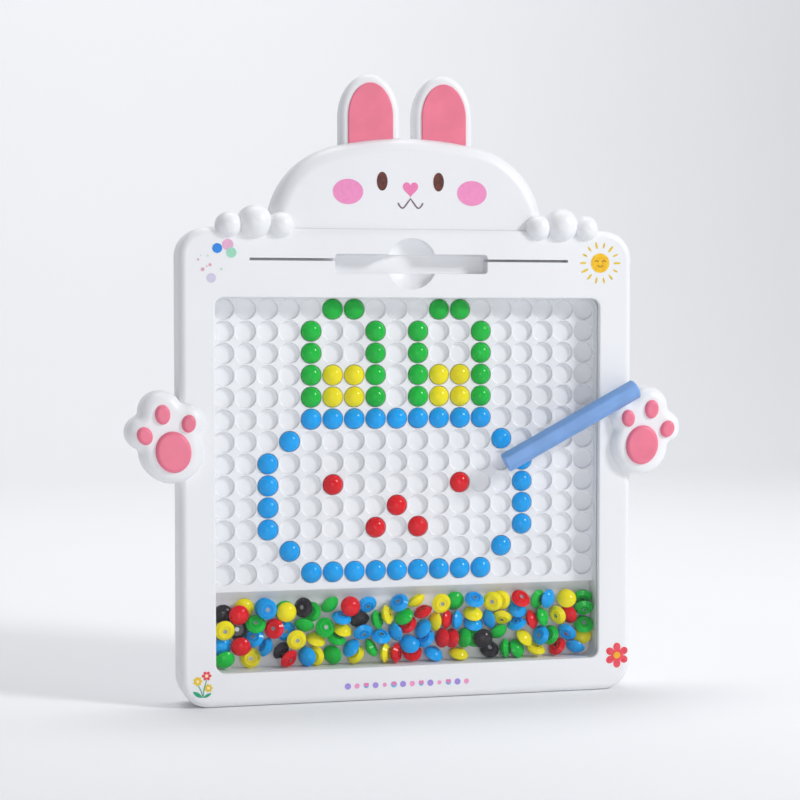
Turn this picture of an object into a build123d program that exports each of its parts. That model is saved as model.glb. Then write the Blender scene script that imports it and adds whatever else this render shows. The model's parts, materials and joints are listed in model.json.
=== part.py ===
from build123d import *
import math
import os
import random

import numpy as np

# Magnetic bead board in the shape of a rabbit, millimetres, standing upright.
# +Z is up, the front faces -Y and +X is the viewer's right. The origin is on the underside,
# at the middle of the board's width and of its thickness.

# ---- beads ---------------------------------------------------------------------------------
bead_radius = 4.55
bead_height = 4.4
bead_base = 3.0              # radius of the flat ring under the bead
bead_flank = 1.5             # height of the tapered flank
bead_band = 0.3              # short upright band where the bead is widest
ring_groove = (1.5, 2.4)     # inner and outer radius of the groove underneath
groove_depth = 0.5
pin_radius = 1.0
pin_length = 3.0
pin_recess = 0.3
bead_spacing = 0.9           # between two beads in neighbouring cups
bead_room = 0.4              # depth left free over one bead
cup_clearance = 0.2          # radial, bead in its cup
cup_depth = 1.8
cup_fillet = 0.7
cup_flare = (0.2, 0.45)      # how much wider a cup's mouth is, radially, and over what depth
pitch = 2 * bead_radius + bead_spacing

# ---- board ---------------------------------------------------------------------------------
board_width = 212.0
board_height = 215.0
board_corner = 13.0          # radius of the four outer corners
front_round = 3.5            # rounding of the front rim
back_round = 1.0
side_wall = 2.2
front_wall = 2.5
cover_thickness = 3.0
cover_gap = 1.4              # between the tray's back and the cover
seat_gap = 0.25              # between parts that drop into one another and don't move
touch = 0.3                  # between soft curved faces that must not touch

# ---- window and bead tray ------------------------------------------------------------------
bezel_side = 16.0
bezel_top = 31.4
bezel_bottom = 15.6
opening_corner = 4.0
opening_edge = 0.8           # rounding of the rim of the opening
sheet_thickness = 1.5
sheet_lap = 2.0              # how far the sheet and the tray's rim reach behind the bezel
plate_depth = bead_height + bead_room        # clear depth between the sheet and the dimple plate
pool_depth = 2 * plate_depth                 # clear depth of the bead pool, for two beads
pool_height = 35.2           # from the bottom of the opening up to the plate's lower edge
tray_floor = 2.0
relief_skin = 1.4            # left behind the cups where the tray's back is hollowed

board_depth = (front_wall + sheet_thickness + pool_depth + tray_floor + cover_gap
               + cover_thickness)
board_side = board_width / 2
board_front = -board_depth / 2
board_back = board_depth / 2
sheet_front = board_front + front_wall
sheet_back = sheet_front + sheet_thickness
plate_face = sheet_back + plate_depth
pool_floor = sheet_back + pool_depth
tray_back = pool_floor + tray_floor
opening_width = board_width - 2 * bezel_side
opening_bottom = bezel_bottom
opening_top = board_height - bezel_top
opening_height = opening_top - opening_bottom
opening_middle = (opening_top + opening_bottom) / 2
shelf = opening_bottom + pool_height
columns = int(opening_width / pitch + 0.01)
rows = int((opening_top - shelf) / pitch)

# The bead picture, first row at the top. One letter for each cup: g, y, b, r, or a dot if empty.
# It keeps to the top and to the middle column of the cups.
picture = (
    ".....gg...gg......",
    "....g..g.g..g.....",
    "....g..g.g..g.....",
    "....gyyg.gyyg.....",
    "....gyyg.gyyg.....",
    "....bbbbbbbbb.....",
    "...b.........b....",
    "..b...........b...",
    "..b..r.....r..b...",
    "..b.....r.....b...",
    "..b....r.r....b...",
    "...b.........b....",
    "....bbbbbbbbb.....",
)
colour_names = {"g": "green", "y": "yellow", "b": "blue", "r": "red", "k": "black"}

# The loose beads, left to right, from the top layer of the pile to the bottom one.
pile_layers = (
    ".ybgkgrbbyygbyrgyg",
    "krbygbkygrryybbyg",
    "ykgrbggybgbrbybbbybrgrg",
    "brbbkyyygbgbrbbrrggkggybgby",
    "gyrbgyyrbykgyrb",
)
pile_rise = 1.187            # from one layer to the next, in bead radii
pile_step = 1.4              # least spacing along a layer, in bead radii
pile_shuffle = (1.2, 1.3)    # how far a bead may lie off its even place, along and up
pile_lift = 3.0              # how far the pile can be shaken up before it meets the plate
pile_tilts = (12, 14, 18, 26, 42)    # largest tilt of a bead in each layer, degrees
bead_gap = 0.24              # added to the pile's bead spacing
settled = 0.1                # how much of that gap two settled beads may still share
pile_seed = 11

# ---- pen -----------------------------------------------------------------------------------
pen_flat = 8.2               # across flats
pen_length = 70.6
pen_from_side = 62.5         # board's side in to the pen's tip
pen_below_paw = 7.4          # side paw's centre down to the pen's tip
pen_off_front = 2.6          # board's front out to the axis at the tip
pen_slope = 29.5             # rise of the pen across the board, degrees
pen_lean = 6.8               # how far the tail stands off the board, degrees
pen_turn = 53                # the flats' turn about the pen's own axis, degrees
pen_edge = 1.2
magnet_radius = 2.5
magnet_length = 12.0
pen_cap = 2.0
nose_chamfer = 0.5
end_cap_length = 4.0
end_chamfer = 1.0
plug_radius = 2.6
plug_length = 6.0
plug_fit = 0.05

# ---- pen groove, card slot -----------------------------------------------------------------
groove_room = (0.6, 0.4)     # added to the pen's length and to its width
pen_stands_proud = 0.4       # of the board's front, when it lies in its groove
groove_length = pen_length + groove_room[0]
groove_height = pen_flat + groove_room[1]
groove_depth_in = pen_flat - pen_stands_proud
groove_off_middle = 0.2      # below the middle of the top rail
groove_drop = bezel_top / 2 + groove_off_middle      # board's top edge down to the groove
groove_wall = 1.2
dish_radius = 11.5
groove_edge = 0.4            # rounding of the rims of the groove and the dish
dish_rim = 3.0               # straight depth before the dish curves in
slot_short = 15.6            # how much sooner than the window the card slot ends, each side
slot_half = opening_width / 2 - slot_short
slot_height = 1.2
slot_rise = 1.7              # slot's centre above the groove's centre
slot_depth = 6.6
slot_wall = 1.2

# ---- screws --------------------------------------------------------------------------------
boss_radius = 3.6
boss_inset = 9.0             # outer edge of the board to the boss centre
screw_hole = 1.3
screw_radius = 1.2
screw_length = 9.0
screw_head = 2.6
screw_head_height = 1.3
screw_cross = (2.6, 0.6, 0.7)    # length, width and depth of the driver's recess
head_pocket = 1.6
head_clearance = 0.3

# ---- head and ears -------------------------------------------------------------------------
head_half = 64.2
head_rise = 41.6
head_flatness = 3.1          # how much less than the rise the shoulders' radius is
head_set_back = 3.0          # head's front behind the board's
head_set_in = 1.0            # head's back before the board's
head_shoulder = head_rise - head_flatness    # the crown's radius follows from it
head_front = board_front + head_set_back
head_back = board_back - head_set_in
head_round = 7.0
head_wall = 3.2
head_face = 4.0
tab_width = 14.0
tab_depth = 6.0
tab_length = 7.0
tab_inset = 24.2             # head's side in to the tab's centre
tab_x = head_half - tab_inset

ear_x = 17.2
ear_half = 14.0
ear_rise = 29.0              # head's top up to the ear's top
ear_crown = 19.6             # height of the rounded part
ear_set_back = 6.0           # ear's front behind the head's
ear_set_in = 1.0             # ear's back before the head's
ear_front = head_front + ear_set_back
ear_back = head_back - ear_set_in
ear_round = 3.0
ear_back_round = 1.5
ear_root = 12.0              # how far the ear's outline runs down behind the head's top
ear_top = board_height + head_rise + ear_rise
inset_half = 10.5
inset_crown = 15.5
inset_margin = 4.0           # ear's top down to the inset's top
inset_proud = 0.8
inset_seat = 1.0
inset_round = 0.6
ear_tenon = (10.0, 4.0, 9.0)     # width, depth, length

# ---- paws ----------------------------------------------------------------------------------
paw_level = 115.2            # height of the side paws' centre
# Side paw lobes: out from the board's side, up from the paw's centre, radius. First the palm.
paw_lobes = ((3.3, 0.0, 14.0), (15.9, 8.5, 7.7), (8.1, 17.7, 9.5), (-3.1, 13.6, 8.0))
paw_blend = 3.0
paw_proud = 5.0              # of the board's front
paw_set_in = 6.0             # paw's back before the board's
paw_front = board_front - paw_proud
paw_back = board_back - paw_set_in
paw_round = 5.5
paw_back_round = 3.0
paw_peg = (4.0, 5.0, 9.0)
# Pads: out from the side, up from the centre, half width, half height, lean in degrees.
palm_pad = (3.3, 0.3, 7.9, 9.2, -10.0)
toe_pads = ((15.8, 7.6, 3.4, 4.1, -24.0), (8.0, 16.9, 3.4, 4.4, -4.0), (-3.5, 12.8, 3.2, 4.0, 6.0))
pad_proud = 1.8
pad_seat = 0.8
pad_round = 1.9

# Top paw fingers: out from the paw's centre, up from the board's top, radius, half depth.
knuckles = ((11.7, 1.0, 5.9, 7.6), (0.0, 2.4, 7.8, 8.8), (-11.5, 1.0, 5.9, 7.6))
top_paw_inset = 34.3         # board's side in to the paw's centre
top_paw_set_back = 3.4       # board's front back to the middle of the fingers
top_paw_x = board_side - top_paw_inset
knuckle_y = board_front + top_paw_set_back
knuckle_peg_radius = 2.5
peg_reach = 2.0              # how far a paw's peg stands inside the wall


def slab(outline, front, back):
    """Extrude an outline drawn in x and z between the planes y = front and y = back."""
    return extrude(Plane.XZ.offset(-back) * outline, amount=back - front)


def front_edges(solid):
    return solid.edges().group_by(Axis.Y)[0]


def back_edges(solid):
    return solid.edges().group_by(Axis.Y)[-1]


def front_plane_edges(shell):
    """Edges that lie in the board's front plane."""
    return shell.edges().filter_by_position(Axis.Y, board_front - 0.01, board_front + 0.01)


def rounded(width, height, radius, middle):
    """A rounded rectangle in x and z, centred at x = 0 and z = middle."""
    return Pos(0, middle) * RectangleRounded(width, height, radius)


def peg_box(centre, size):
    return Pos(*centre) * Box(*size)


def write(shape, name):
    """Write one node. A list of solids becomes one group."""
    if isinstance(shape, list):
        shape = Compound(shape)
    export_step(shape, f"parts/{name}.step")


def screw_points():
    """Places of the six cover screws, x and z."""
    x = board_side - boss_inset
    levels = (boss_inset, board_height / 2, board_height - boss_inset)
    return [(side * x, z) for z in levels for side in (-1, 1)]


def head_screw_points():
    """Places of the three screws behind the head."""
    low = board_height + head_rise * 0.3
    high = board_height + head_rise * 0.66
    return [(-head_half * 0.62, low), (head_half * 0.62, low), (0, high)]


def cylinder_along_y(x, z, radius, front, back):
    return slab(Pos(x, z) * Circle(radius), front, back)


def screw(x, z, seat):
    """One pan head screw. Its head rests on y = seat and its shank runs forward."""
    head = cylinder_along_y(x, z, screw_head, seat, seat + screw_head_height)
    head = fillet(back_edges(head), 0.5)
    shank = cylinder_along_y(x, z, screw_radius, seat - screw_length, seat)
    back = seat + screw_head_height
    length, width, depth = screw_cross
    cross = slab(Pos(x, z) * (Rectangle(length, width) + Rectangle(width, length)), back - depth, back)
    return head + shank - cross


def board_block():
    """The outer form of the board, with no hollows."""
    outline = rounded(board_width, board_height, board_corner, board_height / 2)
    block = slab(outline, board_front, board_back)
    block = fillet(front_edges(block), front_round)
    return fillet(back_edges(block), back_round)


def board_cavity_outline(gap=0.0):
    inset = side_wall + gap
    return rounded(board_width - 2 * inset, board_height - 2 * inset, board_corner - inset,
                   board_height / 2)


def paw_peg_box(gap=0.0):
    """The peg that fixes the right side paw through the board's side wall."""
    depth, height = paw_peg[1], paw_peg[2]
    inner = board_side - side_wall - peg_reach
    outer = board_side + paw_peg[0]
    centre = ((inner + outer) / 2, 0.0, paw_level)
    return peg_box(centre, (outer - inner, depth + 2 * gap, height + 2 * gap))


def knuckle_peg(gap=0.0):
    """The round peg that fixes the right top paw through the board's top wall."""
    low = board_height - side_wall - peg_reach
    high = board_height + 3.0
    return Pos(top_paw_x, -1.0, (low + high) / 2) * Cylinder(knuckle_peg_radius + gap, high - low)


def head_tab(x, gap=0.0):
    """A tab under the head that drops through the board's top wall."""
    top = board_height + 1.0
    centre = (x, (head_front + head_back) / 2 + 1.0, top - (tab_length + 1.0) / 2)
    return peg_box(centre, (tab_width + 2 * gap, tab_depth + 2 * gap, tab_length + 1.0))


def dish_cut(middle):
    """The finger recess: a short straight wall, then a bowl down to the groove's floor."""
    floor = board_front + groove_depth_in
    rim = board_front + dish_rim
    sag = floor - rim
    ball = (dish_radius ** 2 + sag ** 2) / (2 * sag)
    bowl = Pos(0, floor - ball, middle) * Sphere(ball)
    bowl = bowl & cylinder_along_y(0, middle, dish_radius, rim, floor + 1.0)
    return cylinder_along_y(0, middle, dish_radius, board_front - 1.0, rim) + bowl


def front_shell(block):
    shell = block - slab(board_cavity_outline(), sheet_front, board_back)

    rim = slab(rounded(opening_width + 2 * (sheet_lap + seat_gap + 1.0),
                       opening_height + 2 * (sheet_lap + seat_gap + 1.0), opening_corner + 2,
                       opening_middle), sheet_front, sheet_back)
    rim -= slab(rounded(opening_width + 2 * (sheet_lap + seat_gap),
                        opening_height + 2 * (sheet_lap + seat_gap), opening_corner + 1,
                        opening_middle), sheet_front, sheet_back)
    shell += rim

    cover_front = board_back - cover_thickness
    for x, z in screw_points():
        shell += cylinder_along_y(x, z, boss_radius, sheet_front, cover_front)

    groove_z = board_height - groove_drop
    floor = board_front + groove_depth_in
    shell += slab(Pos(0, groove_z) * Rectangle(groove_length + 2 * groove_wall,
                                               groove_height + 2 * groove_wall),
                  sheet_front, floor + groove_wall)
    shell += cylinder_along_y(0, groove_z, dish_radius + groove_wall, sheet_front,
                              floor + groove_wall)
    slot_z = groove_z + slot_rise
    shell += slab(Pos(0, slot_z) * Rectangle(2 * (slot_half + slot_wall), slot_height + 2 * slot_wall),
                  sheet_front, board_front + slot_depth + slot_wall)

    groove = slab(Pos(0, groove_z) * RectangleRounded(groove_length, groove_height, 1.5),
                  board_front - 1.0, floor)
    shell -= fillet(back_edges(groove), 1.0)
    shell -= dish_cut(groove_z)
    groove_rims = [e for e in front_plane_edges(shell)
                   if abs(e.center().X) < groove_length / 2 + 0.1
                   and abs(e.center().Z - groove_z) < dish_radius + 0.1]
    shell = fillet(groove_rims, groove_edge)
    shell -= slab(Pos(0, slot_z) * Rectangle(2 * slot_half, slot_height),
                  board_front - 1.0, board_front + slot_depth)

    opening = slab(rounded(opening_width, opening_height, opening_corner, opening_middle),
                   board_front - 1.0, sheet_front)
    shell -= opening
    rim_edges = [e for e in front_plane_edges(shell)
                 if e.bounding_box().min.Z > opening_bottom - 0.1
                 and e.bounding_box().max.Z < opening_top + 0.1
                 and e.bounding_box().max.X < opening_width / 2 + 0.1
                 and e.bounding_box().min.X > -opening_width / 2 - 0.1]
    shell = fillet(rim_edges, opening_edge)

    for x, z in screw_points():
        shell -= cylinder_along_y(x, z, screw_hole, cover_front - screw_length, cover_front)
    for side in (-1, 1):
        shell -= head_tab(side * tab_x, seat_gap)
    for cut in (paw_peg_box(seat_gap), knuckle_peg(seat_gap)):
        shell -= cut
        shell -= mirror(cut, about=Plane.YZ)
    return shell


def back_cover():
    front = board_back - cover_thickness
    cover = slab(board_cavity_outline(seat_gap), front, board_back)
    cover = fillet(back_edges(cover), 0.6)
    for x in (-60, 60):
        for z in (opening_bottom + 12, opening_middle, opening_top - 12):
            cover += slab(Pos(x, z) * Rectangle(16, 2.5), tray_back, front)
    for x, z in screw_points():
        cover -= cylinder_along_y(x, z, screw_radius + head_clearance, front, board_back)
        cover -= cylinder_along_y(x, z, screw_head + head_clearance, board_back - head_pocket,
                                  board_back)
    return cover


def cup_points():
    """Centre of every cup, keyed by row and column, both from the top left."""
    top = opening_top - pitch / 2
    left = -(columns - 1) / 2 * pitch
    return {(r, c): (left + c * pitch, top - r * pitch) for r in range(rows) for c in range(columns)}


def cup_cutter():
    """One cup, on its own axis along -Y, with its floor at y = plate_face + cup_depth."""
    radius = bead_radius + cup_clearance
    with BuildPart() as cup:
        with BuildSketch(Plane.XY):
            with BuildLine():
                Polyline((0, 0), (radius - cup_fillet, 0))
                JernArc((radius - cup_fillet, 0), (1, 0), cup_fillet, 90)
                wide, flare_depth = radius + cup_flare[0], cup_flare[1]
                Line((radius, cup_fillet), (radius, cup_depth - flare_depth))
                ThreePointArc((radius, cup_depth - flare_depth),
                              (radius + 0.25 * cup_flare[0], cup_depth - flare_depth / 2),
                              (wide, cup_depth))
                Polyline((wide, cup_depth), (wide, cup_depth + 0.5), (0, cup_depth + 0.5), (0, 0))
            make_face()
        revolve(axis=Axis.Y)
    return mirror(cup.part, about=Plane.XZ).moved(Location((0, plate_face + cup_depth, 0)))


def bead_tray():
    outline = rounded(opening_width + 2 * sheet_lap, opening_height + 2 * sheet_lap,
                      opening_corner + 1, opening_middle)
    tray = slab(outline, sheet_back, tray_back)
    tray -= slab(rounded(opening_width, opening_height, opening_corner, opening_middle),
                 sheet_back, plate_face)
    pool = slab(Pos(0, opening_bottom + pool_height / 2) * Rectangle(opening_width, pool_height),
                sheet_back, pool_floor)
    tray -= fillet(pool.edges().filter_by(Axis.Y).group_by(Axis.Z)[0], opening_corner)
    relief_front = plate_face + cup_depth + relief_skin
    relief_height = opening_top - shelf - 6
    tray -= slab(rounded(opening_width - 8, relief_height, 3, shelf + 3 + relief_height / 2),
                 relief_front, tray_back)
    for z in (opening_middle, opening_top - 12):
        for x in (-60, 60):
            tray += slab(Pos(x, z) * Rectangle(18, 4.5), relief_front, tray_back)
    cutter = cup_cutter()
    cutters = [cutter.moved(Location((x, 0, z))) for x, z in cup_points().values()]
    return tray.cut(*cutters)


def window_sheet():
    return slab(rounded(opening_width + 2 * sheet_lap, opening_height + 2 * sheet_lap,
                        opening_corner + 1, opening_middle), sheet_front, sheet_back)


def dome_outline(inset=0.0):
    """The head's outline and its mirror image below the board's top: an oval of four arcs."""
    half, rise, shoulder = head_half - inset, head_rise - inset, head_shoulder - inset
    offset_x = half - shoulder
    crown = (offset_x ** 2 + rise ** 2 - shoulder ** 2) / (2 * (rise - shoulder))
    lean = math.atan2(offset_x, crown - rise)

    def shoulder_point(angle, side, up):
        return (side * (offset_x + shoulder * math.sin(angle)),
                board_height + up * shoulder * math.cos(angle))

    middle = (lean + math.pi / 2) / 2
    with BuildSketch(mode=Mode.PRIVATE) as oval:
        with BuildLine():
            for up in (-1, 1):
                ThreePointArc(shoulder_point(lean, -1, up), (0, board_height + up * rise),
                              shoulder_point(lean, 1, up))
                for side in (-1, 1):
                    ThreePointArc(shoulder_point(lean, side, up), shoulder_point(middle, side, up),
                                  (side * half, board_height))
        make_face()
    return oval.sketch


def above(solid, level):
    """The part of a solid above z = level."""
    box = solid.bounding_box()
    size = 4 * max(box.size.X, box.size.Z)
    return solid - Pos(0, 0, level - size / 2) * Box(size, size, size)


def head_block():
    block = slab(dome_outline(), head_front, head_back)
    block = fillet(front_edges(block), head_round)
    block = fillet(back_edges(block), back_round)
    return above(block, board_height)


def ear_tenon_box(side, gap=0.0):
    width, depth, length = ear_tenon
    top = board_height + head_rise + 2.0
    centre = (side * ear_x, (ear_front + ear_back) / 2, top - length / 2)
    return peg_box(centre, (width + 2 * gap, depth + 2 * gap, length))


def head_shell(block):
    cavity = slab(dome_outline(head_wall), head_front + head_face,
                  head_back)
    shell = block - above(cavity, board_height + side_wall)
    lid_front = head_back - cover_thickness
    for x, z in head_screw_points():
        shell += cylinder_along_y(x, z, boss_radius, head_front + head_face, lid_front)
        shell -= cylinder_along_y(x, z, screw_hole, lid_front - screw_length, lid_front)
    for side in (-1, 1):
        shell += head_tab(side * tab_x)
        shell -= ear_tenon_box(side, seat_gap)
    return shell


def head_lid():
    front = head_back - cover_thickness
    lid = slab(dome_outline(head_wall + seat_gap),
               front, head_back)
    lid = above(lid, board_height + side_wall + seat_gap)
    for x, z in head_screw_points():
        lid -= cylinder_along_y(x, z, screw_radius + head_clearance, front, head_back)
        lid -= cylinder_along_y(x, z, screw_head + head_clearance, head_back - head_pocket, head_back)
    return lid


def arch(half, crown, top, bottom):
    """Straight sides with a half ellipse on top, centred at x = 0."""
    straight = top - crown
    oval = Pos(0, straight) * Ellipse(half, crown)
    lower = Pos(0, (straight + bottom) / 2) * Rectangle(2 * half, straight - bottom)
    below = Pos(0, bottom - 100) * Rectangle(4 * half, 200)
    return oval + lower - below


def ear_and_inset(side, head):
    root = board_height + head_rise - ear_root
    ear = slab(arch(ear_half, ear_crown, ear_top, root), ear_front, ear_back)
    ear = fillet(front_edges(ear), ear_round)
    ear = fillet(back_edges(ear), ear_back_round)
    inset_outline = arch(inset_half, inset_crown, ear_top - inset_margin, root + 2)
    seat = slab(inset_outline, ear_front, ear_front + inset_seat)
    inset = slab(inset_outline, ear_front - inset_proud, ear_front + inset_seat)
    inset = fillet(front_edges(inset), inset_round)
    move = Location((side * ear_x, 0, 0))
    ear = (ear - seat).moved(move) - head + ear_tenon_box(side)
    inset = inset.moved(move) - head
    return ear, inset


def paw_outline():
    lobes = [Pos(board_side + out, paw_level + up) * Circle(radius) for out, up, radius in paw_lobes]
    outline = lobes[0] + lobes[1] + lobes[2] + lobes[3]
    return offset(offset(outline, paw_blend), -paw_blend)


def oval_pad(out, up, half_width, half_height, lean):
    place = Pos(board_side + out, paw_level + up)
    outline = place * Rot(0, 0, lean) * Ellipse(half_width, half_height)
    pad = slab(outline, paw_front - pad_proud, paw_front + pad_seat)
    return fillet(front_edges(pad), pad_round)


def right_side_paw(block):
    paw = slab(paw_outline(), paw_front, paw_back)
    paw = fillet(front_edges(paw), paw_round)
    paw = fillet(back_edges(paw), paw_back_round)
    paw = paw - block
    paw += paw_peg_box()
    palm = oval_pad(*palm_pad)
    toes = [oval_pad(*toe) for toe in toe_pads]
    for pad in [palm] + toes:
        paw -= pad
    return paw, palm, toes


def finger(out, up, radius, half_depth):
    """A round-ended bar along Y that lies over the board's top edge."""
    reach = half_depth - radius
    half_turn = radius * math.sin(math.pi / 4)
    with BuildPart() as bar:
        with BuildSketch(Plane.XY):
            with BuildLine():
                Line((0, -half_depth), (0, half_depth))
                ThreePointArc((0, half_depth), (half_turn, reach + half_turn), (radius, reach))
                Line((radius, reach), (radius, -reach))
                ThreePointArc((radius, -reach), (half_turn, -reach - half_turn), (0, -half_depth))
            make_face()
        revolve(axis=Axis.Y)
    return bar.part.moved(Location((top_paw_x + out, knuckle_y, board_height + up)))


def right_top_paw(block, head):
    fingers = [finger(*knuckle) for knuckle in knuckles]
    paw = fingers[1] + fingers[0] + fingers[2]
    return paw - block - head + knuckle_peg()


def bead():
    """One bead with its flat ring on z = 0 and its dome towards +z, and its pin."""
    low, high = ring_groove
    widest = bead_flank + bead_band
    dome = bead_height - widest
    ball = (bead_radius ** 2 + dome ** 2) / (2 * dome)
    mid_r = bead_radius * 0.6
    mid_z = bead_height - ball + math.sqrt(ball ** 2 - mid_r ** 2)
    with BuildPart() as body:
        with BuildSketch(Plane.XZ):
            with BuildLine():
                Polyline((0, pin_recess), (pin_radius, pin_recess), (pin_radius, 0), (low, 0),
                         (low, groove_depth), (high, groove_depth), (high, 0), (bead_base, 0),
                         (bead_radius, bead_flank), (bead_radius, widest))
                ThreePointArc((bead_radius, widest), (mid_r, mid_z), (0, bead_height))
                Line((0, bead_height), (0, pin_recess))
            make_face()
        revolve(axis=Axis.Z)
    pin = Pos(0, 0, pin_recess + pin_length / 2) * Cylinder(pin_radius, pin_length)
    return body.part - pin, pin


def closest_points(centre_a, normal_a, centre_b, normal_b, radius):
    """Closest points of many pairs of flat discs, found by projecting to and fro."""
    def onto(centre, normal, point):
        arm = point - centre
        arm = arm - (arm * normal).sum(1, keepdims=True) * normal
        reach = np.linalg.norm(arm, axis=1, keepdims=True)
        return centre + arm * np.minimum(1.0, radius / np.maximum(reach, 1e-9))
    on_b = centre_b
    for _ in range(14):
        on_a = onto(centre_a, normal_a, on_b)
        on_b = onto(centre_b, normal_b, on_a)
    return on_a, on_b


def settle_pile():
    """Lay the loose beads out in layers and push them apart until none overlap.

    Each bead is held as a flat disc with a rounded skin, which its true form fits inside.
    """
    rng = random.Random(pile_seed)
    skin = bead_height / 2 + bead_gap / 2
    disc = bead_radius - bead_height / 2
    half = opening_width / 2
    colours, centres, normals = [], [], []
    span = 2 * (half - bead_radius - 1)
    across = int(span / (pile_step * bead_radius)) + 1
    rise = pile_rise * bead_radius
    levels = int((pool_height - pile_lift - 2 * bead_radius) / rise) + 1
    layers = list(zip(pile_layers, pile_tilts))[-levels:]
    for number, (layer, most) in enumerate(layers):
        layer = layer[:across]
        level = bead_radius + (len(layers) - 1 - number) * rise
        step = span / (len(layer) - 1)
        for k, colour in enumerate(layer):
            if colour == ".":
                continue
            x = -span / 2 + k * step + rng.uniform(-pile_shuffle[0], pile_shuffle[0])
            slope = 1.6 * math.sin(math.pi * (x / half + 0.35) / 2.7) - 1.0
            deep = bead_height * (0.55 if (k + number) % 2 else -0.55)
            y = (sheet_back + pool_floor) / 2 + deep
            tilt = math.radians(rng.uniform(0, most))
            spin = rng.uniform(0, 2 * math.pi)
            facing = 1 if rng.random() < 0.55 else -1
            colours.append(colour)
            z = opening_bottom + level + slope + rng.uniform(-pile_shuffle[1], pile_shuffle[1])
            centres.append((x, y, z))
            normals.append((math.sin(tilt) * math.cos(spin), -facing * math.cos(tilt),
                            math.sin(tilt) * math.sin(spin)))
    centres, normals = np.array(centres), np.array(normals)
    own = normals.copy()
    first, second = np.triu_indices(len(centres), 1)
    low = np.array((-half, sheet_back, opening_bottom))
    high = np.array((half, pool_floor, shelf - pile_lift - touch))
    for _ in range(2500):
        on_a, on_b = closest_points(centres[first], normals[first], centres[second],
                                    normals[second], disc)
        apart = on_a - on_b
        gap = np.linalg.norm(apart, axis=1)
        middles = centres[first] - centres[second]
        middles = middles / np.linalg.norm(middles, axis=1, keepdims=True)
        push = np.where(gap[:, None] > 1e-3, apart / np.maximum(gap, 1e-3)[:, None], middles)
        depth = np.maximum(0.0, 2 * skin - gap)[:, None]
        shift, turn = np.zeros_like(centres), np.zeros_like(centres)
        np.add.at(shift, first, 0.3 * depth * push)
        np.add.at(shift, second, -0.3 * depth * push)
        np.add.at(turn, first, 0.05 * depth * np.cross(on_a - centres[first], push))
        np.add.at(turn, second, -0.05 * depth * np.cross(on_b - centres[second], push))
        centres = centres + shift
        normals = normals + np.cross(turn, normals) + 0.012 * (own - normals)
        normals = normals / np.linalg.norm(normals, axis=1, keepdims=True)
        reach = disc * np.sqrt(np.maximum(0.0, 1 - normals ** 2)) + skin
        centres = np.maximum(centres, low + reach)
        centres = np.minimum(centres, high - reach)
        if depth.max() < settled:
            break
    print("loose beads:", len(colours), "deepest skin overlap left:", round(float(depth.max()), 3))
    return [(c, Vector(*p), Vector(*n)) for c, p, n in zip(colours, centres, normals)]


def stand_bead(shape, base, normal):
    """Move a bead so that its flat ring is centred on base and its dome points along normal."""
    return shape.moved(Plane(origin=base, z_dir=normal).location)


def placed_beads(body, pin):
    """The picture's beads and pins, keyed by colour name."""
    groups = {}
    floor = plate_face + cup_depth
    shift = (columns - len(picture[0])) // 2
    for (row, column), (x, z) in cup_points().items():
        inside = row < len(picture) and 0 <= column - shift < len(picture[row])
        letter = picture[row][column - shift] if inside else "."
        if letter == ".":
            continue
        beads, pins = groups.setdefault(colour_names[letter], ([], []))
        base = Vector(x, floor, z)
        beads.append(stand_bead(body, base, Vector(0, -1, 0)))
        pins.append(stand_bead(pin, base, Vector(0, -1, 0)))
    return groups


def loose_beads(body, pin):
    groups, pins = {}, []
    for letter, centre, normal in settle_pile():
        base = centre - normal * (bead_height / 2)
        groups.setdefault(colour_names[letter], []).append(stand_bead(body, base, normal))
        pins.append(stand_bead(pin, base, normal))
    return groups, pins


def pen_parts():
    """The pen along its own z, tip at z = 0, then moved to its place before the window."""
    barrel_end = pen_length - end_cap_length
    section = fillet(RegularPolygon(pen_flat / 2, 6, major_radius=False).vertices(), pen_edge)
    barrel = extrude(section, amount=barrel_end - pen_cap).moved(Location((0, 0, pen_cap)))
    barrel -= Pos(0, 0, pen_cap + magnet_length / 2) * Cylinder(magnet_radius, magnet_length)
    barrel -= Pos(0, 0, barrel_end - plug_length / 2) * Cylinder(plug_radius, plug_length)
    magnet = Pos(0, 0, pen_cap + magnet_length / 2) * Cylinder(magnet_radius, magnet_length)
    nose = chamfer(extrude(section, amount=pen_cap).edges().group_by(Axis.Z)[0], nose_chamfer)
    cap = extrude(section, amount=end_cap_length).moved(Location((0, 0, barrel_end)))
    cap = chamfer(cap.edges().group_by(Axis.Z)[-1], end_chamfer)
    cap += Pos(0, 0, barrel_end - plug_length / 2 + 0.2) * Cylinder(plug_radius - plug_fit,
                                                                   plug_length - 0.4)
    slope, lean = math.radians(pen_slope), math.radians(pen_lean)
    along = Vector(math.cos(slope) * math.cos(lean), -math.sin(lean),
                   math.sin(slope) * math.cos(lean))
    tip = Vector(board_side - pen_from_side, board_front - pen_off_front, paw_level - pen_below_paw)
    place = Plane(origin=tip, x_dir=Vector(0, -1, 0).cross(along), z_dir=along)
    turned = place.location * Rot(0, 0, pen_turn)
    names = ("pen_barrel", "pen_magnet", "pen_nose_cap", "pen_end_cap")
    return {name: turned * part for name, part in zip(names, (barrel, magnet, nose, cap))}


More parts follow.
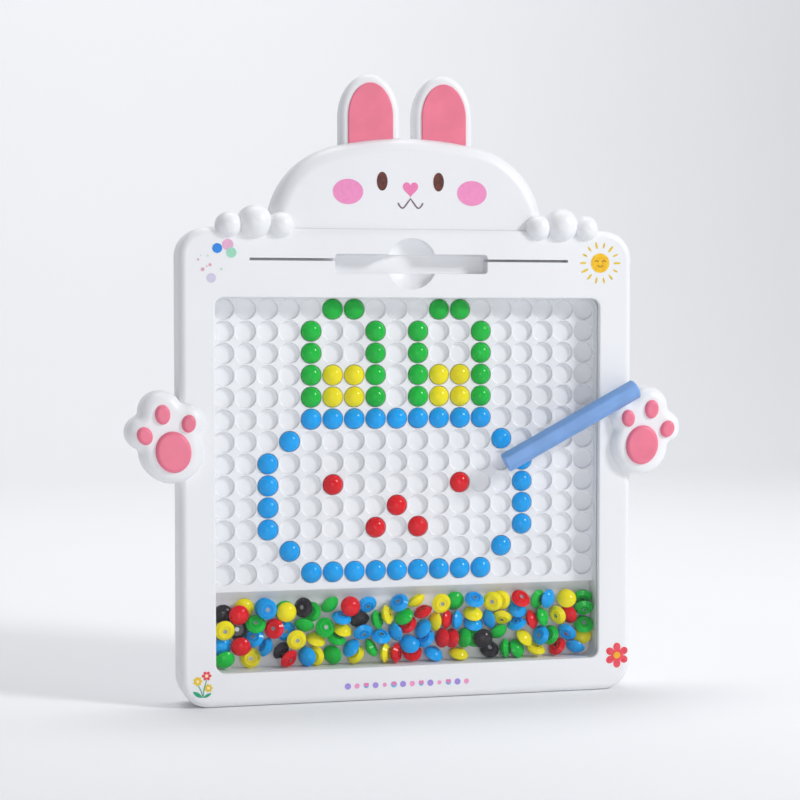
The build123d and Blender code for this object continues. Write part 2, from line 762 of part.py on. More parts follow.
def main():
    os.makedirs("parts", exist_ok=True)
    block = board_block()
    write(front_shell(block), "front_shell")
    write(back_cover(), "back_cover")
    write(bead_tray(), "bead_tray")
    write(window_sheet(), "window_sheet")
    cover_seat = board_back - head_pocket
    write([screw(x, z, cover_seat) for x, z in screw_points()], "cover_screws")

    head = head_block()
    write(head_shell(head), "head_shell")
    write(head_lid(), "head_lid")
    lid_seat = head_back - head_pocket
    write([screw(x, z, lid_seat) for x, z in head_screw_points()], "head_screws")
    for side, name in ((-1, "left"), (1, "right")):
        ear, inset = ear_and_inset(side, head)
        write(ear, f"{name}_ear")
        write(inset, f"{name}_ear_inset")

    paw, palm, toes = right_side_paw(block)
    knuckled = right_top_paw(block, head)
    for name, across in (("right", False), ("left", True)):
        def placed(solid):
            return mirror(solid, about=Plane.YZ) if across else solid
        write(placed(paw), f"{name}_side_paw")
        write(placed(palm), f"{name}_palm_pad")
        write([placed(toe) for toe in toes], f"{name}_toe_pads")
        write(placed(knuckled), f"{name}_top_paw")

    body, pin = bead()
    for colour, (beads, pins) in placed_beads(body, pin).items():
        write(beads, f"placed_beads_{colour}")
        write(pins, f"placed_pins_{colour}")
    groups, pins = loose_beads(body, pin)
    for colour, beads in groups.items():
        write(beads, f"loose_beads_{colour}")
    write(pins, "loose_pins")

    for name, part in pen_parts().items():
        write(part, name)


main()
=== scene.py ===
"""Looks of a bead drawing board shaped like a rabbit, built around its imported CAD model."""

import json
import math

import bmesh
import bpy
from bpy.props import FloatProperty, FloatVectorProperty, IntProperty, PointerProperty
from mathutils import Matrix, Vector


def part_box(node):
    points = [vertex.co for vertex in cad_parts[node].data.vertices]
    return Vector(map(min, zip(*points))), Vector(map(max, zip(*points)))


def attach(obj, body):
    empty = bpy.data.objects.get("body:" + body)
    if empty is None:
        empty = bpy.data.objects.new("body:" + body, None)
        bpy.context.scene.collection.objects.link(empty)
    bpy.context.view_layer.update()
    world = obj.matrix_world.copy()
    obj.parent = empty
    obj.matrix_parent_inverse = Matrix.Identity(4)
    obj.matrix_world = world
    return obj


bl_info = {
    "name": "Bead drawing board",
    "version": (1, 0, 0),
    "blender": (4, 5, 0),
    "location": "View3D > Sidebar > Bead board",
    "description": "Prints, soft shells, materials and studio of a rabbit-shaped bead board",
    "category": "Object",
}

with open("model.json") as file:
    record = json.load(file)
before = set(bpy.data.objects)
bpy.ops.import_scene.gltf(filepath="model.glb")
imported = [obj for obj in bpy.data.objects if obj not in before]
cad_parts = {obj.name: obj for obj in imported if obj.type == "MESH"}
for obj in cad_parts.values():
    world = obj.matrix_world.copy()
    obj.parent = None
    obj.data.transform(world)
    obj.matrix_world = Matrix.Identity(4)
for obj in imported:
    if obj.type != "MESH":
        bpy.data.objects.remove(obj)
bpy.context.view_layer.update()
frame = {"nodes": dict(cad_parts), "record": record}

MM = 0.001
INK = 0.12            # thickness of a printed ink layer, mm
SUNK = 0.05           # how deep a print's back lies in the plastic, mm
OVERPRINT = 0.04      # how far an ink printed on another stands out from it, mm


def srgb(code):
    """A hex colour turned into linear red, green and blue."""
    values = [int(code[i:i + 2], 16) / 255 for i in (1, 3, 5)]
    return tuple(v / 12.92 if v <= 0.04045 else ((v + 0.055) / 1.055) ** 2.4 for v in values)


def rgba(colour):
    return (colour[0], colour[1], colour[2], 1.0)


def shade(colour, factor):
    return tuple(min(1.0, c * factor) for c in colour[:3])


def node_front(name):
    """Front plane of a CAD node, mm."""
    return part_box(name)[0].y / MM


# ---- sizes and colours a user would change --------------------------------------------------

def colour_property(name, code, description):
    return FloatVectorProperty(name=name, description=description, subtype="COLOR", size=3,
                               min=0.0, max=1.0, default=srgb(code))


class BoardColours(bpy.types.PropertyGroup):
    shell: colour_property("Shell", "#EDEEF1", "White of the moulded shells, head, ears and paws")
    pad: colour_property("Pads", "#F07B95", "Pink of the ear insets and paw pads")
    pen: colour_property("Pen", "#78A5E1", "Blue of the pen")
    green: colour_property("Green beads", "#00BC38", "Green of the beads")
    yellow: colour_property("Yellow beads", "#F7E800", "Yellow of the beads")
    blue: colour_property("Blue beads", "#00A6F6", "Blue of the beads")
    red: colour_property("Red beads", "#E60014", "Red of the beads")
    black: colour_property("Black beads", "#2A2226", "Black of the beads")


class PrintSizes(bpy.types.PropertyGroup):
    eye_gap: FloatProperty(name="Eye spacing", description="Centre to centre of the eyes",
                           subtype="DISTANCE", default=0.0264, min=0.01, max=0.06, precision=4)
    cheek_gap: FloatProperty(name="Cheek spacing", description="Centre to centre of the cheeks",
                             subtype="DISTANCE", default=0.058, min=0.03, max=0.09, precision=4)
    sun_radius: FloatProperty(name="Sun radius", description="Radius of the printed sun's disc",
                              subtype="DISTANCE", default=0.0045, min=0.002, max=0.008, precision=4)
    sun_rays: IntProperty(name="Sun rays", description="Number of rays round the sun", default=14,
                          min=6, max=24)
    ornament_step: FloatProperty(name="Ornament step", subtype="DISTANCE", default=0.0043,
                                 min=0.002, max=0.008, precision=4,
                                 description="Spacing of the dots in the row under the window")


# ---- materials ------------------------------------------------------------------------------

def add_node(tree, kind, settings=None, links=None):
    """Add a node, set its attributes and inputs, and link its inputs to other nodes' outputs."""
    node = tree.nodes.new(kind)
    for key, value in (settings or {}).items():
        if isinstance(key, str) and hasattr(node, key):
            setattr(node, key, value)
        else:
            node.inputs[key].default_value = value
    for key, source in (links or {}).items():
        tree.links.new(source, node.inputs[key])
    return node


def new_material(name):
    material = bpy.data.materials.new(name)
    material.use_nodes = True
    tree = material.node_tree
    tree.nodes.clear()
    return material, tree


def finish_material(tree, shader):
    add_node(tree, "ShaderNodeOutputMaterial", links={"Surface": shader.outputs[0]})


def mottle(tree, where, colour, other, size_mm, detail=2.0):
    """Two near colours mixed by a soft noise whose spots are size_mm across."""
    noise = add_node(tree, "ShaderNodeTexNoise", {"Scale": 1 / (size_mm * MM), "Detail": detail},
                     {"Vector": where})
    ramp = add_node(tree, "ShaderNodeValToRGB", links={"Fac": noise.outputs["Fac"]})
    ramp.color_ramp.elements[0].position = 0.35
    ramp.color_ramp.elements[0].color = rgba(other)
    ramp.color_ramp.elements[1].position = 0.65
    ramp.color_ramp.elements[1].color = rgba(colour)
    return ramp.outputs["Color"]


def roughness_noise(tree, where, low, high, size_mm):
    noise = add_node(tree, "ShaderNodeTexNoise", {"Scale": 1 / (size_mm * MM), "Detail": 3.0},
                     {"Vector": where})
    spread = add_node(tree, "ShaderNodeMapRange", {"To Min": low, "To Max": high},
                      {"Value": noise.outputs["Fac"]})
    return spread.outputs["Result"]


def fine_bump(tree, where, size_mm, height_mm, strength=0.5):
    noise = add_node(tree, "ShaderNodeTexNoise", {"Scale": 1 / (size_mm * MM), "Detail": 4.0},
                     {"Vector": where})
    bump = add_node(tree, "ShaderNodeBump", {"Strength": strength, "Distance": height_mm * MM},
                    {"Height": noise.outputs["Fac"]})
    return bump.outputs["Normal"]


def moulded_plastic(name, colour, other, roughness=(0.3, 0.4), spot_mm=24.0, grain_mm=0.9,
                    grain_height=0.02, ior=1.53, soft=0.0):
    """Injection moulded plastic: an even colour with a faint cloud, and the tool's fine grain."""
    material, tree = new_material(name)
    where = add_node(tree, "ShaderNodeTexCoord").outputs["Object"]
    shader = add_node(tree, "ShaderNodeBsdfPrincipled",
                      {"IOR": ior, "Subsurface Weight": soft, "Subsurface Scale": 0.002},
                      {"Base Color": mottle(tree, where, colour, other, spot_mm),
                       "Roughness": roughness_noise(tree, where, roughness[0], roughness[1], 6.0),
                       "Normal": fine_bump(tree, where, grain_mm, grain_height)})
    finish_material(tree, shader)
    return material


def shell_material(colours):
    """White ABS off a finely sparked tool: satin, with a faint random cloud of slightly darker white."""
    return moulded_plastic("white_abs_satin", colours.shell, shade(colours.shell, 0.965),
                           roughness=(0.34, 0.46), spot_mm=60.0, grain_mm=0.8, grain_height=0.015)


def tray_material(colours):
    """White polystyrene of the cup plate: glossier than the shell, so each cup catches a glint."""
    return moulded_plastic("white_polystyrene_tray", shade(colours.shell, 1.02),
                           shade(colours.shell, 0.975), roughness=(0.26, 0.36), spot_mm=40.0,
                           grain_mm=1.2, grain_height=0.01)


def pad_material(colours):
    """Pink ABS caps: satin, with a slightly deeper pink in the cloud."""
    return moulded_plastic("pink_abs_satin", colours.pad, shade(colours.pad, 0.9),
                           roughness=(0.36, 0.48), spot_mm=12.0, grain_mm=0.7, grain_height=0.02)


def pen_material(colours):
    """Blue ABS bar of the pen: fine satin with long flow marks."""
    return moulded_plastic("blue_abs_pen", colours.pen, shade(colours.pen, 0.88),
                           roughness=(0.32, 0.45), spot_mm=9.0, grain_mm=0.6, grain_height=0.03)


def bead_material(name, colour):
    """Gloss polystyrene bead: clean strong colour that drifts a little from bead to bead."""
    material, tree = new_material(name)
    where = add_node(tree, "ShaderNodeTexCoord").outputs["Object"]
    shader = add_node(tree, "ShaderNodeBsdfPrincipled",
                      {"IOR": 1.5, "Specular IOR Level": 0.25},
                      {"Base Color": mottle(tree, where, shade(colour, 1.03), shade(colour, 0.88), 16.0),
                       "Roughness": roughness_noise(tree, where, 0.14, 0.22, 3.0),
                       "Normal": fine_bump(tree, where, 1.4, 0.01, 0.3)})
    finish_material(tree, shader)
    return material


def sheet_material():
    """Clear polystyrene sheet: almost unseen, with a faint haze and a broad soft reflection."""
    material, tree = new_material("clear_polystyrene_sheet")
    where = add_node(tree, "ShaderNodeTexCoord").outputs["Object"]
    shader = add_node(tree, "ShaderNodeBsdfPrincipled", {"IOR": 1.59, "Alpha": 0.02},
                      {"Base Color": mottle(tree, where, srgb("#C4CED6"), srgb("#AEBBC6"), 70.0),
                       "Roughness": roughness_noise(tree, where, 0.05, 0.12, 30.0),
                       "Normal": fine_bump(tree, where, 40.0, 0.02, 0.2)})
    finish_material(tree, shader)
    return material


def steel_material(name, colour, grit_mm, roughness):
    """Cut steel: a grey metal with turning marks round its ends."""
    material, tree = new_material(name)
    where = add_node(tree, "ShaderNodeTexCoord").outputs["Object"]
    shader = add_node(tree, "ShaderNodeBsdfPrincipled", {"Metallic": 1.0},
                      {"Base Color": mottle(tree, where, colour, shade(colour, 0.75), 1.2),
                       "Roughness": roughness_noise(tree, where, roughness[0], roughness[1], 0.8),
                       "Normal": fine_bump(tree, where, grit_mm, 0.02)})
    finish_material(tree, shader)
    return material


def ink_material(name, code, other=None):
    """Pad-printed ink: flat and slightly duller than the plastic, uneven at the scale of the pad."""
    colour = srgb(code)
    return moulded_plastic(name, colour, srgb(other) if other else shade(colour, 0.93),
                           roughness=(0.42, 0.55), spot_mm=1.6, grain_mm=0.3, grain_height=0.005)


# ---- mesh helpers ---------------------------------------------------------------------------

def link_mesh(name, mesh, material):
    """Put a finished mesh in the scene as a piece of the board, with flat faces."""
    piece = bpy.data.objects.new(name, mesh)
    bpy.context.scene.collection.objects.link(piece)
    mesh.materials.clear()
    mesh.materials.append(material)
    for polygon in mesh.polygons:
        polygon.use_smooth = False
    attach(piece, "board")


def print_piece(name, loops, surface, material, lift=0.0):
    """Closed thin slabs of ink. Each loop is a list of x and z in mm on the plane y = surface.

    They are built in millimetres and scaled at the end, as tiny outlines fill badly in metres.
    """
    mesh = bpy.data.meshes.new(name)
    build = bmesh.new()
    front, back = surface - INK - lift, surface + SUNK
    for loop in loops:
        near = [build.verts.new((x, front, z)) for x, z in loop]
        far = [build.verts.new((x, back, z)) for x, z in loop]
        build.faces.new(near)
        build.faces.new(far[::-1])
        count = len(loop)
        for k in range(count):
            n = (k + 1) % count
            build.faces.new((near[k], far[k], far[n], near[n]))
    build.normal_update()
    bmesh.ops.triangulate(build, faces=[f for f in build.faces if len(f.verts) > 4])
    bmesh.ops.recalc_face_normals(build, faces=build.faces)
    bmesh.ops.scale(build, vec=(MM, MM, MM), verts=build.verts)
    build.to_mesh(mesh)
    build.free()
    link_mesh(name, mesh, material)


def oval(x, z, half_width, half_height, count=40):
    angles = [2 * math.pi * k / count for k in range(count)]
    return [(x + half_width * math.cos(a), z + half_height * math.sin(a)) for a in angles]


def heart(x, z, width, height, count=48):
    """A rounded heart, point down."""
    points = []
    for k in range(count):
        t = 2 * math.pi * k / count
        a = math.sin(t) ** 3
        b = (13 * math.cos(t) - 5 * math.cos(2 * t) - 2 * math.cos(3 * t) - math.cos(4 * t)) / 17
        points.append((x + a * width / 2, z + (b + 0.12) * height / 1.7))
    return points


def blossom(x, z, radius, petals, notch, blunt, turn=0.0, count=120):
    """A flower whose petals meet in narrow notches."""
    points = []
    for k in range(count):
        angle = 2 * math.pi * k / count
        wave = abs(math.cos(petals * angle / 2)) ** blunt
        reach = radius * (notch + (1 - notch) * wave)
        a = angle + math.radians(turn)
        points.append((x + reach * math.cos(a), z + reach * math.sin(a)))
    return points


def leaf(x, z, length, width, lean, count=24):
    """A pointed leaf with its stalk end at x, z."""
    turn = math.radians(lean)
    side = []
    for k in range(count + 1):
        t = k / count
        side.append((t * length, width / 2 * math.sin(math.pi * t) ** 0.8))
    outline = side + [(a, -b) for a, b in side[-2:0:-1]]
    return [(x + a * math.cos(turn) - b * math.sin(turn), z + a * math.sin(turn) + b * math.cos(turn))
            for a, b in outline]


def stroke(points, width):
    """The outline of a pen stroke of that width along points, with round ends."""
    left, right = [], []
    last = len(points) - 1
    for k, (x, z) in enumerate(points):
        ax, az = points[max(k - 1, 0)]
        bx, bz = points[min(k + 1, last)]
        length = math.hypot(bx - ax, bz - az)
        nx, nz = -(bz - az) / length * width / 2, (bx - ax) / length * width / 2
        left.append((x + nx, z + nz))
        right.append((x - nx, z - nz))

    def cap(centre, start):
        angle = math.atan2(start[1] - centre[1], start[0] - centre[0])
        return [(centre[0] + width / 2 * math.cos(angle - math.pi * t / 6),
                 centre[1] + width / 2 * math.sin(angle - math.pi * t / 6)) for t in range(1, 6)]
    return left + cap(points[-1], left[-1]) + right[::-1] + cap(points[0], right[0])


def arc_points(x, z, radius, start, end, count=12):
    return [(x + radius * math.cos(math.radians(start + (end - start) * k / count)),
             z + radius * math.sin(math.radians(start + (end - start) * k / count)))
            for k in range(count + 1)]


# ---- geometry nodes -------------------------------------------------------------------------

def new_tree(name, inputs):
    """A geometry node tree with named inputs: each is (name, socket type, default)."""
    tree = bpy.data.node_groups.new(name, "GeometryNodeTree")
    for label, kind, default in inputs:
        socket = tree.interface.new_socket(label, in_out="INPUT", socket_type=kind)
        if default is not None:
            socket.default_value = default
    tree.interface.new_socket("Geometry", in_out="OUTPUT", socket_type="NodeSocketGeometry")
    return tree


def end_tree(tree, geometry, material):
    """Realize the instances, set their material and close the tree."""
    solid = add_node(tree, "GeometryNodeRealizeInstances", links={"Geometry": geometry})
    painted = add_node(tree, "GeometryNodeSetMaterial", {"Material": material},
                       {"Geometry": solid.outputs[0]})
    add_node(tree, "NodeGroupOutput", links={"Geometry": painted.outputs[0]})


def bake_tree(name, tree, values, material):
    """Run a tree on an empty mesh with these input values and keep the result as a plain mesh."""
    host = bpy.data.objects.new(name + "_maker", bpy.data.meshes.new(name + "_maker"))
    bpy.context.scene.collection.objects.link(host)
    modifier = host.modifiers.new("maker", "NODES")
    modifier.node_group = tree
    for item in tree.interface.items_tree:
        if item.item_type == "SOCKET" and item.in_out == "INPUT" and item.name in values:
            modifier[item.identifier] = values[item.name]
    bpy.context.view_layer.update()
    graph = bpy.context.evaluated_depsgraph_get()
    mesh = bpy.data.meshes.new_from_object(host.evaluated_get(graph))
    mesh.name = name
    bpy.data.objects.remove(host)
    link_mesh(name, mesh, material)


def ray_tree(material):
    """Flat oval rays standing round a circle in the plane of the bezel."""
    inputs = (("Count", "NodeSocketInt", 14), ("Ring Radius", "NodeSocketFloat", 0.008),
              ("Ray Length", "NodeSocketFloat", 0.004), ("Ray Width", "NodeSocketFloat", 0.001),
              ("Ink", "NodeSocketFloat", 0.0002), ("Spread", "NodeSocketFloat", 0.2),
              ("Centre", "NodeSocketVector", (0, 0, 0)))
    tree = new_tree("sun_ray_ring", inputs)
    given = add_node(tree, "NodeGroupInput").outputs
    ring = add_node(tree, "GeometryNodeMeshCircle", links={"Vertices": given["Count"],
                                                           "Radius": given["Ring Radius"]})
    disc = add_node(tree, "GeometryNodeMeshCylinder", {"Vertices": 14, "Radius": 0.5},
                    {"Depth": given["Ink"]})
    scale = add_node(tree, "ShaderNodeCombineXYZ", {"Z": 1.0},
                     {"X": given["Ray Length"], "Y": given["Ray Width"]})
    ray = add_node(tree, "GeometryNodeTransform", links={"Geometry": disc.outputs["Mesh"],
                                                         "Scale": scale.outputs[0]})
    place = add_node(tree, "GeometryNodeInputPosition")
    aim = add_node(tree, "FunctionNodeAlignRotationToVector", {"axis": "X"},
                   {"Vector": place.outputs[0]})
    low = add_node(tree, "ShaderNodeMath", {"operation": "SUBTRACT", 0: 1.0}, {1: given["Spread"]})
    size = add_node(tree, "FunctionNodeRandomValue", {"data_type": "FLOAT", "Seed": 4},
                    {2: low.outputs[0]})
    rays = add_node(tree, "GeometryNodeInstanceOnPoints",
                    links={"Points": ring.outputs["Mesh"], "Instance": ray.outputs[0],
                           "Rotation": aim.outputs[0], "Scale": size.outputs[1]})
    stood = add_node(tree, "GeometryNodeTransform", {"Rotation": (math.pi / 2, 0, 0)},
                     {"Geometry": rays.outputs[0], "Translation": given["Centre"]})
    end_tree(tree, stood.outputs[0], material)
    return tree


def dot_row_tree(material):
    """A row of flat dots whose sizes vary a little from one to the next."""
    inputs = (("Count", "NodeSocketInt", 5), ("Step", "NodeSocketFloat", 0.012),
              ("Dot", "NodeSocketFloat", 0.001), ("Smallest", "NodeSocketFloat", 0.6),
              ("Ink", "NodeSocketFloat", 0.0002), ("Sides", "NodeSocketInt", 24),
              ("Seed", "NodeSocketInt", 0), ("Start", "NodeSocketVector", (0, 0, 0)))
    tree = new_tree("ornament_row", inputs)
    given = add_node(tree, "NodeGroupInput").outputs
    offset = add_node(tree, "ShaderNodeCombineXYZ", links={"X": given["Step"]})
    line = add_node(tree, "GeometryNodeMeshLine", links={"Count": given["Count"],
                                                         "Start Location": given["Start"],
                                                         "Offset": offset.outputs[0]})
    disc = add_node(tree, "GeometryNodeMeshCylinder", links={"Vertices": given["Sides"],
                                                             "Radius": given["Dot"],
                                                             "Depth": given["Ink"]})
    stood = add_node(tree, "GeometryNodeTransform", {"Rotation": (math.pi / 2, 0, 0)},
                     {"Geometry": disc.outputs["Mesh"]})
    size = add_node(tree, "FunctionNodeRandomValue", {"data_type": "FLOAT"},
                    {2: given["Smallest"], "Seed": given["Seed"]})
    dots = add_node(tree, "GeometryNodeInstanceOnPoints",
                    links={"Points": line.outputs["Mesh"], "Instance": stood.outputs[0],
                           "Scale": size.outputs[1]})
    end_tree(tree, dots.outputs[0], material)
    return tree


# ---- operators ------------------------------------------------------------------------------

class BOARD_OT_cad_finishes(bpy.types.Operator):
    """Give every CAD part its moulded, clear or steel finish"""
    bl_idname = "board.cad_finishes"
    bl_label = "Finish the CAD parts"

    def execute(self, context):
        colours = context.scene.board_colours
        finishes = {
            "white_shell": shell_material(colours),
            "clear_sheet": sheet_material(),
            "pink_pad": pad_material(colours),
            "pen_blue": pen_material(colours),
            "steel_pin": steel_material("cut_steel_pin", srgb("#A8ABB0"), 0.3, (0.25, 0.45)),
            "screw_steel": steel_material("zinc_plated_screw", srgb("#B4B8BC"), 0.4, (0.3, 0.5)),
            "magnet": steel_material("nickel_plated_magnet", srgb("#9DA0A4"), 0.5, (0.15, 0.3)),
        }
        for name in ("green", "yellow", "blue", "red", "black"):
            colour = getattr(colours, name)
            finishes[f"bead_{name}"] = bead_material(f"{name}_polystyrene_bead", colour)
        tray = tray_material(colours)
        for part in frame["record"]["subparts"]:
            node = frame["nodes"][part["node"]]
            finish = tray if part["node"] == "bead_tray" else finishes[part["material_slot"]]
            node.data.materials.clear()
            node.data.materials.append(finish)
        return {"FINISHED"}


class BOARD_OT_face_print(bpy.types.Operator):
    """Print the eyes, cheeks, nose and mouth on the head"""
    bl_idname = "board.face_print"
    bl_label = "Print the face"

    def execute(self, context):
        sizes = context.scene.board_prints
        surface = node_front("head_shell")
        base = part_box("front_shell")[1].z / MM
        eye, cheek = sizes.eye_gap / MM / 2, sizes.cheek_gap / MM / 2
        eye_level, nose_level, cheek_level = base + 21.5, base + 17.8, base + 16.6
        lip_top, lip_level, lip_width = base + 13.7, base + 9.4, 0.7
        print_piece("eye_prints", [oval(side * eye, eye_level, 2.5, 4.25) for side in (-1, 1)],
                    surface, ink_material("brown_eye_ink", "#6B2B1E", "#4A1A14"))
        print_piece("cheek_prints", [oval(side * cheek, cheek_level, 7.0, 5.7) for side in (-1, 1)],
                    surface, ink_material("cheek_pink_ink", "#F291C5"))
        print_piece("nose_print", [heart(0, nose_level, 7.2, 7.0)], surface,
                    ink_material("nose_pink_ink", "#F07FB4"))
        smile = ((5.7, 2.2), (5.2, 1.2), (4.5, 0.4), (3.8, 0.05), (3.1, 0.3), (2.3, 1.25), (1.1, 2.9))
        left = [(-x, lip_level + z) for x, z in smile]
        right = [(x, lip_level + z) for x, z in smile[::-1]]
        print_piece("mouth_print", [stroke(left + [(0, lip_top)] + right, lip_width)], surface,
                    ink_material("mouth_grey_ink", "#7C6670"))
        return {"FINISHED"}


class BOARD_OT_sun_print(bpy.types.Operator):
    """Print the sun in the upper right corner of the bezel"""
    bl_idname = "board.sun_print"
    bl_label = "Print the sun"

    def execute(self, context):
        sizes = context.scene.board_prints
        surface = node_front("front_shell")
        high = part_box("front_shell")[1] / MM
        from_side, from_top = 15.9, 14.9
        x, z, radius = high.x - from_side, high.z - from_top, sizes.sun_radius / MM
        gold = ink_material("sun_gold_ink", "#F5C800", "#E9B000")
        brown = ink_material("sun_brown_ink", "#9A5A10")
        print_piece("sun_disc_print", [oval(x, z, radius, radius)], surface, gold)
        line, eye_out, eye_up, mouth_down = 0.42, 1.75, 0.3, 0.6
        marks = [stroke(arc_points(x + side * eye_out, z + eye_up, 0.85, 20, 160, 8), line)
                 for side in (-1, 1)]
        marks.append(stroke(arc_points(x, z - mouth_down, 1.2, 205, 335, 8), line))
        print_piece("sun_smile_print", marks, surface, brown, lift=OVERPRINT)
        values = {"Count": sizes.sun_rays, "Ring Radius": 8.3 * MM, "Ray Length": 3.7 * MM,
                  "Ray Width": 1.15 * MM, "Ink": 2 * INK * MM, "Spread": 0.3,
                  "Centre": (x * MM, surface * MM, z * MM)}
        ray_ink = ink_material("sun_ray_ink", "#E8CB2E", "#D9B51C")
        bake_tree("sun_ray_prints", ray_tree(ray_ink), values, ray_ink)
        return {"FINISHED"}


class BOARD_OT_flower_prints(bpy.types.Operator):
    """Print the flowers in the two lower corners of the bezel"""
    bl_idname = "board.flower_prints"
    bl_label = "Print the flowers"

    def execute(self, context):
        surface = node_front("front_shell")
        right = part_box("front_shell")[1].x / MM
        red = ink_material("flower_red_ink", "#F0515F", "#E2394C")
        gold = ink_material("flower_gold_ink", "#F4B21C")
        green = ink_material("leaf_green_ink", "#12A37A")
        flower_in, flower_up, bunch_in, stem = 6.8, 16.3, 9.4, 0.4
        x, z = right - flower_in, flower_up
        print_piece("corner_flower_print", [blossom(x, z, 5.9, 6, 0.42, 0.55, turn=90)], surface, red)
        print_piece("corner_flower_heart_print", [oval(x, z, 1.7, 1.6)], surface, gold,
                    lift=OVERPRINT)
        left = -right + bunch_in
        top, middle, low = (left + 2.2, 14.9), (left - 1.8, 12.6), (left + 3.0, 9.4)
        print_piece("bunch_red_print", [blossom(*top, 2.2, 6, 0.5, 0.6)], surface, red)
        print_piece("bunch_yellow_prints", [blossom(*middle, 2.1, 7, 0.6, 0.6),
                                            blossom(*low, 1.9, 7, 0.6, 0.6)],
                    surface, ink_material("flower_yellow_ink", "#E9C715"))
        hearts = [oval(*place, size, size, count=20)
                  for place, size in ((top, 0.75), (middle, 0.7), (low, 0.65))]
        print_piece("bunch_heart_prints", hearts, surface,
                    ink_material("flower_cream_ink", "#FFE9B8"), lift=OVERPRINT)
        stems = [stroke([(left + 0.6, 5.4), (left + 1.0, 9.0), (left + 2.1, 12.8)], stem),
                 stroke([(left + 0.5, 5.6), (left - 0.4, 8.4), (left - 1.5, 10.6)], stem)]
        leaves = [leaf(left + 0.2, 5.2, 5.0, 1.8, 146), leaf(left + 0.8, 5.2, 4.0, 1.3, 28)]
        print_piece("bunch_leaf_prints", stems + leaves, surface, green)
        return {"FINISHED"}


class BOARD_OT_bubble_prints(bpy.types.Operator):
    """Print the bubbles in the upper left corner of the bezel"""
    bl_idname = "board.bubble_prints"
    bl_label = "Print the bubbles"

    def execute(self, context):
        surface = node_front("front_shell")
        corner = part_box("front_shell")
        left, top = corner[0].x / MM, corner[1].z / MM
        inks = {    # colour, spots as distance in, distance down and radius, and lift
            "bubble_pink_print": ("#E9AFD0", [(21.8, 7.9, 2.5)], 0.0),
            "bubble_blue_print": ("#1487E6", [(17.1, 9.5, 2.2)], OVERPRINT),
            "bubble_green_print": ("#9FDDC0", [(23.4, 11.4, 2.3)], 2 * OVERPRINT),
            "bubble_lilac_print": ("#D5CFE6", [(14.4, 22.7, 2.1)], 0.0),
            "bubble_dot_prints": ("#E3A9B9", [(13.9, 16.9, 0.7), (10.6, 18.9, 0.85), (8.6, 14.6, 0.5),
                                              (12.4, 17.5, 0.35)], 0.0),
            "bubble_speck_prints": ("#BFE0C8", [(12.9, 12.9, 0.45), (18.9, 18.8, 0.55),
                                                (9.8, 12.7, 0.3)], 0.0),
        }
        for name, (code, spots, lift) in inks.items():
            loops = [oval(left + x, top - down, r, r, count=32) for x, down, r in spots]
            print_piece(name, loops, surface, ink_material(name.replace("_print", "_ink"), code),
                        lift=lift)
        return {"FINISHED"}


class BOARD_OT_ornament_print(bpy.types.Operator):
    """Print the row of pastel dots and hearts under the window"""
    bl_idname = "board.ornament_print"
    bl_label = "Print the ornament"

    def execute(self, context):
        sizes = context.scene.board_prints
        surface = node_front("front_shell")
        step = sizes.ornament_step / MM
        middle, half = 7.3, 30.0        # height of the row above the foot, and half its length
        rows = (("lilac", "#A58FE0", 0, 1.5), ("rose", "#F29AC8", 1, 1.3), ("sky", "#63B9EA", 2, 1.4))
        for name, code, phase, dot in rows:
            ink = ink_material(f"ornament_{name}_ink", code)
            count = int((2 * half - phase * step) // (3 * step)) + 1
            values = {"Count": count, "Step": 3 * step * MM, "Dot": dot * MM, "Smallest": 0.7,
                      "Ink": 2 * INK * MM, "Sides": 24, "Seed": phase + 3,
                      "Start": ((-half + phase * step) * MM, surface * MM, middle * MM)}
            bake_tree(f"ornament_{name}_dots", dot_row_tree(ink), values, ink)
        hearts = [heart(-half + (k + 0.5) * 3 * step + step / 2, middle + 0.2, 2.4, 2.3, 24)
                  for k in range(int(2 * half // (3 * step)))]
        print_piece("ornament_heart_prints", hearts, surface,
                    ink_material("ornament_heart_ink", "#EE7FB5"), lift=OVERPRINT)
        return {"FINISHED"}


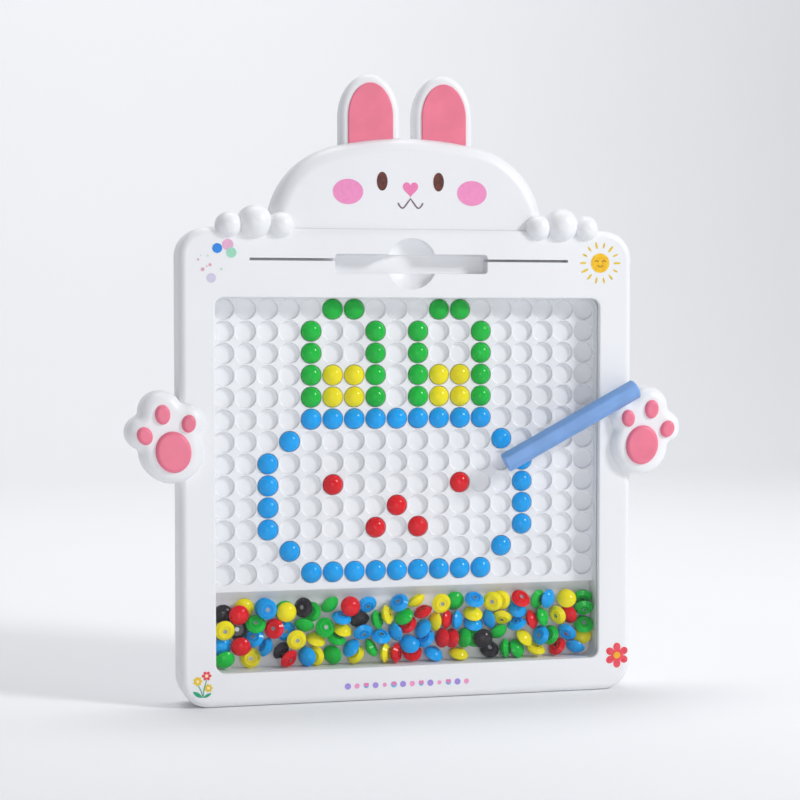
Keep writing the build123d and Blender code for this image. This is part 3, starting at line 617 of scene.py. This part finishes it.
class BOARD_OT_studio(bpy.types.Operator):
    """Add the pale floor, the soft lights and the camera"""
    bl_idname = "board.studio"
    bl_label = "Build the studio"

    def execute(self, context):
        context.scene.view_settings.view_transform = "Standard"
        self.add_floor()
        self.add_light("key_light", (1.0, -0.8, 0.85), (0.0, 0.0, 0.13), 0.3, 10.5)
        self.add_light("front_light", (-0.15, -1.7, 0.12), (0.0, 0.0, 0.09), 0.8, 6.5)
        self.add_light("wall_light", (0.0, 0.35, 1.6), (0.0, 1.9, 0.3), 1.2, 16.0)
        world = bpy.data.worlds.new("studio_world")
        bpy.context.scene.world = world
        world.use_nodes = True
        sky = world.node_tree.nodes["Background"]
        sky.inputs["Color"].default_value = rgba(srgb("#F6F8FC"))
        sky.inputs["Strength"].default_value = 0.36
        self.add_camera()
        return {"FINISHED"}

    def add_floor(self):
        """A floor that curves up into a plain wall behind the board."""
        near, back, bend, wall_top, half_width, turns = -3.0, 1.2, 0.8, 3.5, 4.0, 12
        profile = [(near, 0.0), (back, 0.0)]
        profile += [(back + bend * math.sin(a), bend - bend * math.cos(a))
                    for a in (math.pi / 2 * k / turns for k in range(1, turns + 1))]
        profile.append((back + bend, wall_top))
        mesh = bpy.data.meshes.new("studio_floor")
        build = bmesh.new()
        sides = [[build.verts.new((x, y, z)) for y, z in profile]
                 for x in (-half_width, half_width)]
        for k in range(len(profile) - 1):
            build.faces.new((sides[0][k], sides[1][k], sides[1][k + 1], sides[0][k + 1]))
        build.to_mesh(mesh)
        build.free()
        floor = bpy.data.objects.new("studio_floor", mesh)
        bpy.context.scene.collection.objects.link(floor)
        for polygon in mesh.polygons:
            polygon.use_smooth = True
        white = srgb("#F7F8FA")
        mesh.materials.append(moulded_plastic("studio_paper", white, shade(white, 0.99),
                                              roughness=(0.7, 0.8), spot_mm=300.0, grain_mm=2.0))

    def add_light(self, name, place, target, size, power):
        lamp = bpy.data.lights.new(name, "AREA")
        lamp.shape = "DISK"
        lamp.size = size
        lamp.energy = power
        light = bpy.data.objects.new(name, lamp)
        bpy.context.scene.collection.objects.link(light)
        light.location = place
        aim = Vector(target) - Vector(place)
        light.rotation_euler = aim.to_track_quat("-Z", "Y").to_euler()

    def add_camera(self):
        lens = bpy.data.cameras.new("board_camera")
        lens.lens = 85.7
        lens.sensor_width = 36.0
        camera = bpy.data.objects.new("board_camera", lens)
        bpy.context.scene.collection.objects.link(camera)
        camera.location = (-0.2083, -0.8509, 0.1730)
        forward = Vector((0.2341, 0.9713, -0.0412))
        camera.rotation_euler = forward.to_track_quat("-Z", "Y").to_euler()
        bpy.context.scene.camera = camera


STEPS = (BOARD_OT_cad_finishes, BOARD_OT_face_print, BOARD_OT_sun_print, BOARD_OT_flower_prints,
         BOARD_OT_bubble_prints, BOARD_OT_ornament_print, BOARD_OT_studio)


class BOARD_PT_panel(bpy.types.Panel):
    """Sidebar panel with every step and its settings"""
    bl_idname = "BOARD_PT_panel"
    bl_label = "Bead board"
    bl_space_type = "VIEW_3D"
    bl_region_type = "UI"
    bl_category = "Bead board"

    def draw(self, context):
        for group in (context.scene.board_colours, context.scene.board_prints):
            box = self.layout.box()
            for name in group.bl_rna.properties.keys():
                if name not in ("rna_type", "name"):
                    box.prop(group, name)
        for step in STEPS:
            self.layout.operator(step.bl_idname)


CLASSES = (BoardColours, PrintSizes) + STEPS + (BOARD_PT_panel,)


def register():
    for kind in CLASSES:
        bpy.utils.register_class(kind)
    bpy.types.Scene.board_colours = PointerProperty(type=BoardColours)
    bpy.types.Scene.board_prints = PointerProperty(type=PrintSizes)


def unregister():
    del bpy.types.Scene.board_prints
    del bpy.types.Scene.board_colours
    for kind in reversed(CLASSES):
        bpy.utils.unregister_class(kind)


def main():
    register()
    for step in STEPS:
        group, name = step.bl_idname.split(".")
        getattr(getattr(bpy.ops, group), name)()


if __name__ == "__main__":
    main()
